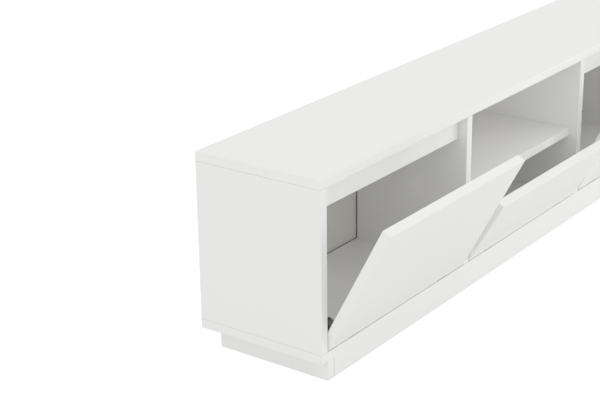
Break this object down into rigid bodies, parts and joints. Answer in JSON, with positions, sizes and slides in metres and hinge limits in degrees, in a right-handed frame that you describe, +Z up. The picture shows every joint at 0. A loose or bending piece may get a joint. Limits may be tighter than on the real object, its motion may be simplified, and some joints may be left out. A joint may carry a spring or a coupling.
{
  "type": "tv stand with doors",
  "caption": "Low, wide white-lacquered television stand on a recessed plinth, with drop-down flap doors between uprights, an open niche over a shelf, and folding stays.",
  "frame": {"origin": "on the floor, under the middle of the carcass footprint, at the face of the centre glide", "axes": "+X along the width, to the right seen from the front; -Y out of the front; +Z up"},
  "size_m": [1.8, 0.4844, 0.465],
  "materials": {
    "white_lacquer": "gloss lacquer on board",
    "back_board": "satin foil on thin board",
    "dark_nickel": "dark nickel plate",
    "zinc_steel": "bright zinc plate",
    "beech": "raw, fluted",
    "nylon": "moulded",
    "bumper_rubber": "clear, satin"
  },
  "bodies": {
    "carcass": {"top_panel": "white_lacquer", "bottom_panel": "white_lacquer", "side_panel_left": "white_lacquer", "side_panel_right": "white_lacquer", "divider_left": "white_lacquer", "divider_right": "white_lacquer", "back_panel_left": "back_board", "back_panel_middle": "back_board", "back_panel_right": "back_board", "rail_left": "white_lacquer", "rail_right": "white_lacquer", "middle_shelf": "white_lacquer", "shelf_studs": "zinc_steel", "plinth_front": "white_lacquer", "plinth_back": "white_lacquer", "plinth_end_left": "white_lacquer", "plinth_end_right": "white_lacquer", "plinth_cross_rails": "white_lacquer", "plinth_glides": "nylon", "plinth_brackets": "zinc_steel", "plinth_screws": "zinc_steel", "cam_fittings": "zinc_steel", "cam_bolts": "zinc_steel", "wood_dowels": "beech", "hinge_plates": "dark_nickel", "hinge_arms": "dark_nickel", "hinge_arm_screws": "zinc_steel", "hinge_plate_screws": "zinc_steel", "hinge_pins": "zinc_steel", "stay_wall_brackets": "dark_nickel", "stay_wall_screws": "zinc_steel"},
    "flap_left": {"flap_left": "white_lacquer", "hinge_cups_left": "dark_nickel", "hinge_cup_screws_left": "zinc_steel", "stay_flap_bracket_left": "dark_nickel", "stay_flap_screws_left": "zinc_steel", "flap_bumpers_left": "bumper_rubber"},
    "stay_lower_left": {"stay_lower_link_left": "dark_nickel"},
    "stay_upper_left": {"stay_upper_link_left": "dark_nickel"},
    "flap_middle": {"flap_middle": "white_lacquer", "hinge_cups_middle": "dark_nickel", "hinge_cup_screws_middle": "zinc_steel", "stay_flap_bracket_middle": "dark_nickel", "stay_flap_screws_middle": "zinc_steel", "flap_bumpers_middle": "bumper_rubber"},
    "stay_lower_middle": {"stay_lower_link_middle": "dark_nickel"},
    "stay_upper_middle": {"stay_upper_link_middle": "dark_nickel"},
    "flap_right": {"flap_right": "white_lacquer", "hinge_cups_right": "dark_nickel", "hinge_cup_screws_right": "zinc_steel", "stay_flap_bracket_right": "dark_nickel", "stay_flap_screws_right": "zinc_steel", "flap_bumpers_right": "bumper_rubber"},
    "stay_lower_right": {"stay_lower_link_right": "dark_nickel"},
    "stay_upper_right": {"stay_upper_link_right": "dark_nickel"}
  },
  "joints": [
    {"name": "flap_left_hinge", "type": "hinge", "parent": "carcass", "child": "flap_left", "pos_m": [-0.59267, -0.1633, 0.072], "axis": [1, 0, 0], "range_deg": [-27.5, 62.5]},
    {"name": "stay_lower_left_pivot", "type": "hinge", "parent": "carcass", "child": "stay_lower_left", "pos_m": [-0.8745, -0.0913, 0.082], "axis": [1, 0, 0], "range_deg": [-27.5, 62.5]},
    {"name": "stay_elbow_left_pivot", "type": "hinge", "parent": "stay_lower_left", "child": "stay_upper_left", "pos_m": [-0.872, -0.09213, 0.14921], "axis": [1, 0, 0], "range_deg": [-62.5, 27.5]},
    {"name": "flap_middle_hinge", "type": "hinge", "parent": "carcass", "child": "flap_middle", "pos_m": [0, -0.1633, 0.072], "axis": [1, 0, 0], "range_deg": [-29.4, 60.6]},
    {"name": "stay_lower_middle_pivot", "type": "hinge", "parent": "carcass", "child": "stay_lower_middle", "pos_m": [-0.28183, -0.0913, 0.082], "axis": [1, 0, 0], "range_deg": [-29.4, 60.6]},
    {"name": "stay_elbow_middle_pivot", "type": "hinge", "parent": "stay_lower_middle", "child": "stay_upper_middle", "pos_m": [-0.27933, -0.09436, 0.14915], "axis": [1, 0, 0], "range_deg": [-60.6, 29.4]},
    {"name": "flap_right_hinge", "type": "hinge", "parent": "carcass", "child": "flap_right", "pos_m": [0.59267, -0.1633, 0.072], "axis": [1, 0, 0], "range_deg": [-23.5, 66.5]},
    {"name": "stay_lower_right_pivot", "type": "hinge", "parent": "carcass", "child": "stay_lower_right", "pos_m": [0.31083, -0.0913, 0.082], "axis": [1, 0, 0], "range_deg": [-23.5, 66.5]},
    {"name": "stay_elbow_right_pivot", "type": "hinge", "parent": "stay_lower_right", "child": "stay_upper_right", "pos_m": [0.31333, -0.08744, 0.14911], "axis": [1, 0, 0], "range_deg": [-66.5, 23.5]}
  ],
  "couplings": [
    {"joint": "stay_lower_left_pivot", "follows": "flap_left_hinge", "ratio": 1},
    {"joint": "stay_elbow_left_pivot", "follows": "flap_left_hinge", "ratio": -1},
    {"joint": "stay_lower_middle_pivot", "follows": "flap_middle_hinge", "ratio": 1},
    {"joint": "stay_elbow_middle_pivot", "follows": "flap_middle_hinge", "ratio": -1},
    {"joint": "stay_lower_right_pivot", "follows": "flap_right_hinge", "ratio": 1},
    {"joint": "stay_elbow_right_pivot", "follows": "flap_right_hinge", "ratio": -1}
  ]
}
